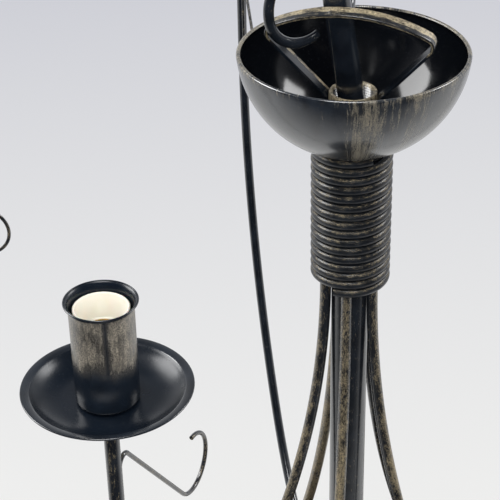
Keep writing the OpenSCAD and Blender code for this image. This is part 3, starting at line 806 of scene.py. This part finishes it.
def cupOutline():
    size = candleCup
    sheet = size["sheet"]
    outer = size["outer"]
    corner = size["corner"]
    rows = size["flareRows"]
    flareStart = size["tall"] - size["flareTall"]
    outside = [(size["hole"], 0)] + arc(outer - corner, corner, corner, -90, 0)
    # rows that the gilding's edge needs
    outside += [(outer, z) for z in range(2 * corner, int(flareStart), size["rows"])]
    flare = []
    for k in range(1, rows):
        swell = (size["flare"] - outer) * (k / rows) ** size["flareCurve"]
        flare.append((outer + swell, flareStart + size["flareTall"] * k / rows))
    lip = arc(size["flare"] - sheet / 2, size["tall"] - sheet / 2, sheet / 2, -20, 180, 8)
    back = [(r - sheet, z) for r, z in reversed(flare)]
    inside = [(outer - sheet, flareStart - sheet)] + arc(outer - corner, corner, corner - sheet, 0, -90)
    return outside + flare + lip + back + inside + [(size["hole"], sheet)]


def holderOutline():
    size = lampHolder
    outer = size["outer"]
    edge = size["edge"]
    lip = (outer - size["mouth"]) / 2
    shell = size["shell"] + size["shellPlay"]
    shellTop = holderTall - size["funnel"]
    seat = shellTop - size["shellTall"]
    bottom = seat - size["contact"]
    outline = [(size["hole"], 0), (outer - edge, 0), (outer, edge), (outer, holderTall - size["lipStart"])]
    outline += arc(outer - lip, holderTall - lip, lip, 0, 180, 8)
    outline += [(size["shell"] + size["funnelFoot"], shellTop + size["funnelRise"]), (shell, shellTop)]
    outline += [(shell, seat), (size["contactHole"], seat), (size["contactHole"], bottom)]
    return outline + [(size["hole"], bottom)]


# the cup is gilded above the middle, with a ragged lower edge, a bare seam and a bare lip
cupGilding = dict(edge=21, fade=9, seam=33.5, seamWidth=4.5, seamBare=0.85, lip=2.5, lipGilt=0.05)


def cupGilt(angle, reach, z):
    if z > (candleCup["tall"] - cupGilding["lip"]) * mm:
        return cupGilding["lipGilt"]
    ragged = 2 * math.sin(3 * angle + 1) + math.sin(7 * angle)
    amount = min(1.0, max(0.0, (z / mm - cupGilding["edge"] - ragged) / cupGilding["fade"]))
    away = abs((math.degrees(angle) - cupGilding["seam"] + 180) % 360 - 180)
    return amount * (1 - cupGilding["seamBare"] * math.exp(-(away / cupGilding["seamWidth"]) ** 2))


def panGilt(angle, reach, z):
    return dripPan["topGilt"] if z > 0.5 * dripPan["deep"] * mm else dripPan["underGilt"]


pan = turned("dripPan_1", panOutline(), Matrix.Identity(4), panGilt)
for face in pan.data.polygons:
    inside = math.hypot(*face.center[:2]) < (panLipStart - dripPan["lipRise"]) * mm
    face.material_index = 1 if face.normal.z > 0.2 and inside else 0
cup = turned("candleCup_1", cupOutline(), Matrix.Identity(4), cupGilt)
for face in cup.data.polygons:
    inward = face.normal.x * face.center.x + face.normal.y * face.center.y < 0
    face.material_index = 1 if inward or face.center.z < candleCup["sheet"] * 1.5 * mm else 0
holder = turned("lampHolder_1", holderOutline(), Matrix.Identity(4), evenGilt(0))

for i in range(candleCount, 0, -1):  # the first ones last, since they are what is copied
    at = shift(columnX, 0, 0) @ facing(armTube["phase"], i) @ shift(armTube["reach"] * mm, 0, 0)
    for first, node, z, slot, finishes in (
            (pan, "drip_pan", panZ, "gilded_iron", [gildedCup, panEnamel]),
            (cup, "candle_cup", cupZ, "gilded_iron", [gildedCup, panEnamel]),
            (holder, "lamp_holder", holderZ, "holder_plastic", [ivory])):
        label = first.name.split("_")[0]
        piece = first if i == 1 else copyPiece(first, f"{label}_{i}")
        piece.data.transform(at @ shift(0, 0, z))
        finishPiece(piece, "lamp", slot, finishes, f"{node}_{i}")
print("candles done")

# nodes that keep their own shape
keptFinish = {"hanging_ring": plainIron, "stem_eye": plainIron, "stem_pin": steel, "bowl_washer": steel,
              "dish_washer": steel, "screw_shells": brass, "centre_contacts": brass}
for i in range(1, candleCount + 1):
    keptFinish[f"pan_collar_{i}"] = plainIron
for name, finish in keptFinish.items():
    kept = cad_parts[name]
    kept.data.materials.clear()
    kept.data.materials.append(finish)

# floor, light and camera

# Mat paper sweep: pale all over. What the camera and reflections see of it is mostly its own colour, and the
# rest is lit, so that it keeps a soft shadow. Reflections find the paper's end and the dark room in front of
# the lamp, and seen from below it is clear. Sizes and fades are in metres.
paperSweep = dict(size=12, drop=0.5, near="#f0f0ef", far="#dbdce3", farFade=(0.9, 2.8), room="#2c2e33",
                  endFade=(-1.0, 0.1), own=0.8, rough=0.9, specular=0.1)


def matPaper():
    look = paperSweep
    material, tree, shader = newMaterial("matPaperSweep")
    place = addNode(tree, "ShaderNodeTexCoord").outputs["Object"]
    back = addNode(tree, "ShaderNodeSeparateXYZ", {"Vector": place}).outputs["Y"]
    rays = addNode(tree, "ShaderNodeLightPath").outputs
    below = addNode(tree, "ShaderNodeNewGeometry").outputs["Backfacing"]
    near, far, room = linear(look["near"]), linear(look["far"]), linear(look["room"])
    farStart, farEnd = look["farFade"]
    endStart, endEnd = look["endFade"]
    distant = addNode(tree, "ShaderNodeMapRange", {"Value": back, "From Min": farStart, "From Max": farEnd})
    onPaper = addNode(tree, "ShaderNodeMapRange", {"Value": back, "From Min": endStart, "From Max": endEnd})
    tone = addNode(tree, "ShaderNodeMix", {"Factor": distant, "A": near, "B": far}, data_type="RGBA")
    ended = addNode(tree, "ShaderNodeMix", {"Factor": onPaper, "A": room, "B": tone}, data_type="RGBA")
    colour = addNode(tree, "ShaderNodeMix", {"Factor": rays["Is Camera Ray"], "A": ended, "B": tone},
                     data_type="RGBA")
    setInputs(tree, shader, {"Base Color": colour, "Roughness": look["rough"],
                             "Specular IOR Level": look["specular"]})
    seen = addNode(tree, "ShaderNodeMath", {0: rays["Is Camera Ray"], 1: rays["Is Glossy Ray"]},
                   operation="MAXIMUM")
    share = addNode(tree, "ShaderNodeMath", {0: seen, 1: look["own"]}, operation="MULTIPLY")
    glow = addNode(tree, "ShaderNodeEmission", {"Color": colour, "Strength": 1})
    sheet = addNode(tree, "ShaderNodeMixShader", {"Fac": share, 1: shader, 2: glow})
    clear = addNode(tree, "ShaderNodeBsdfTransparent")
    floorSide = addNode(tree, "ShaderNodeMixShader", {"Fac": below, 1: sheet, 2: clear})
    setInputs(tree, tree.nodes["Material Output"], {"Surface": floorSide})
    return material


clearSelection()
floorZ = cadBox[0][2] - paperSweep["drop"]
bpy.ops.mesh.primitive_plane_add(size=paperSweep["size"], location=(0, 0, floorZ))
floor = bpy.context.object
floor.name = "paleFloor"
floor.data.materials.append(matPaper())

# the room: pale for the camera, and in reflections pale behind the lamp, dark above it and in front
roomLight = dict(pale="#eef0f4", above="#3c4047", aboveFade=(0.1, 0.8), front="#16181c",
                 frontFade=(-0.45, 0.35))


def softRoom():
    world = bpy.data.worlds.new("softRoom")
    world.use_nodes = True
    tree = world.node_tree
    direction = addNode(tree, "ShaderNodeTexCoord").outputs["Generated"]
    towards = addNode(tree, "ShaderNodeSeparateXYZ", {"Vector": direction}).outputs
    seen = addNode(tree, "ShaderNodeLightPath").outputs["Is Camera Ray"]
    pale, above, front = (linear(roomLight[key]) for key in ("pale", "above", "front"))
    upFrom, upTo = roomLight["aboveFade"]
    backFrom, backTo = roomLight["frontFade"]
    high = addNode(tree, "ShaderNodeMapRange", {"Value": towards["Z"], "From Min": upFrom, "From Max": upTo})
    behind = addNode(tree, "ShaderNodeMapRange", {"Value": towards["Y"], "From Min": backFrom,
                                                  "From Max": backTo})
    backdrop = addNode(tree, "ShaderNodeMix", {"Factor": high, "A": pale, "B": above}, data_type="RGBA")
    room = addNode(tree, "ShaderNodeMix", {"Factor": behind, "A": front, "B": backdrop}, data_type="RGBA")
    colour = addNode(tree, "ShaderNodeMix", {"Factor": seen, "A": room, "B": pale}, data_type="RGBA")
    setInputs(tree, tree.nodes["Background"], {"Color": colour, "Strength": 1})
    return world


bpy.context.scene.world = softRoom()

# the front fill lights the gilding without a glare in the enamel
lamps = {"windowLeft": dict(at=(-1.7, 0.3, 0.9), size=1.1, power=34, glare=True),
         "windowRight": dict(at=(1.7, 0.5, 1.1), size=0.75, power=17, glare=True),
         "overheadSoftbox": dict(at=(-0.2, -0.7, 1.9), size=0.9, power=26, glare=True),
         "frontFill": dict(at=(0.3, -2.3, 0.7), size=1.8, power=60, glare=False)}
for name, lamp in lamps.items():
    clearSelection()
    bpy.ops.object.light_add(type="AREA", location=lamp["at"])
    light = bpy.context.object
    light.name = name
    light.data.size = lamp["size"]
    light.data.energy = lamp["power"]
    light.visible_glossy = lamp["glare"]
    aim = rimCentre - Vector(lamp["at"])
    light.rotation_euler = aim.to_track_quat("-Z", "Y").to_euler()

# the camera stands in front, a little above the bowl, and looks down; measured from the rim's middle in mm,
# with its focal length in pixels of the picture's width
cameraStand = dict(at=(-46.4, -953.9, 432.5), yaw=-1.452, pitch=31.43, roll=-1.272, focalPixels=1589.6,
                   pictureWidth=500, sensor=36)
clearSelection()
bpy.ops.object.camera_add()
camera = bpy.context.object
camera.data.sensor_fit = "HORIZONTAL"
camera.data.sensor_width = cameraStand["sensor"]
camera.data.lens = cameraStand["focalPixels"] / cameraStand["pictureWidth"] * cameraStand["sensor"]
camera.data.clip_start = 0.01
turn = tilt(-cameraStand["yaw"], "Z") @ tilt(90 - cameraStand["pitch"], "X") @ tilt(cameraStand["roll"], "Z")
camera.matrix_world = shift(*(rimCentre + Vector(cameraStand["at"]) * mm)) @ turn
bpy.context.scene.camera = camera
bpy.context.scene.view_settings.view_transform = "Standard"
print("stage, light and camera done")
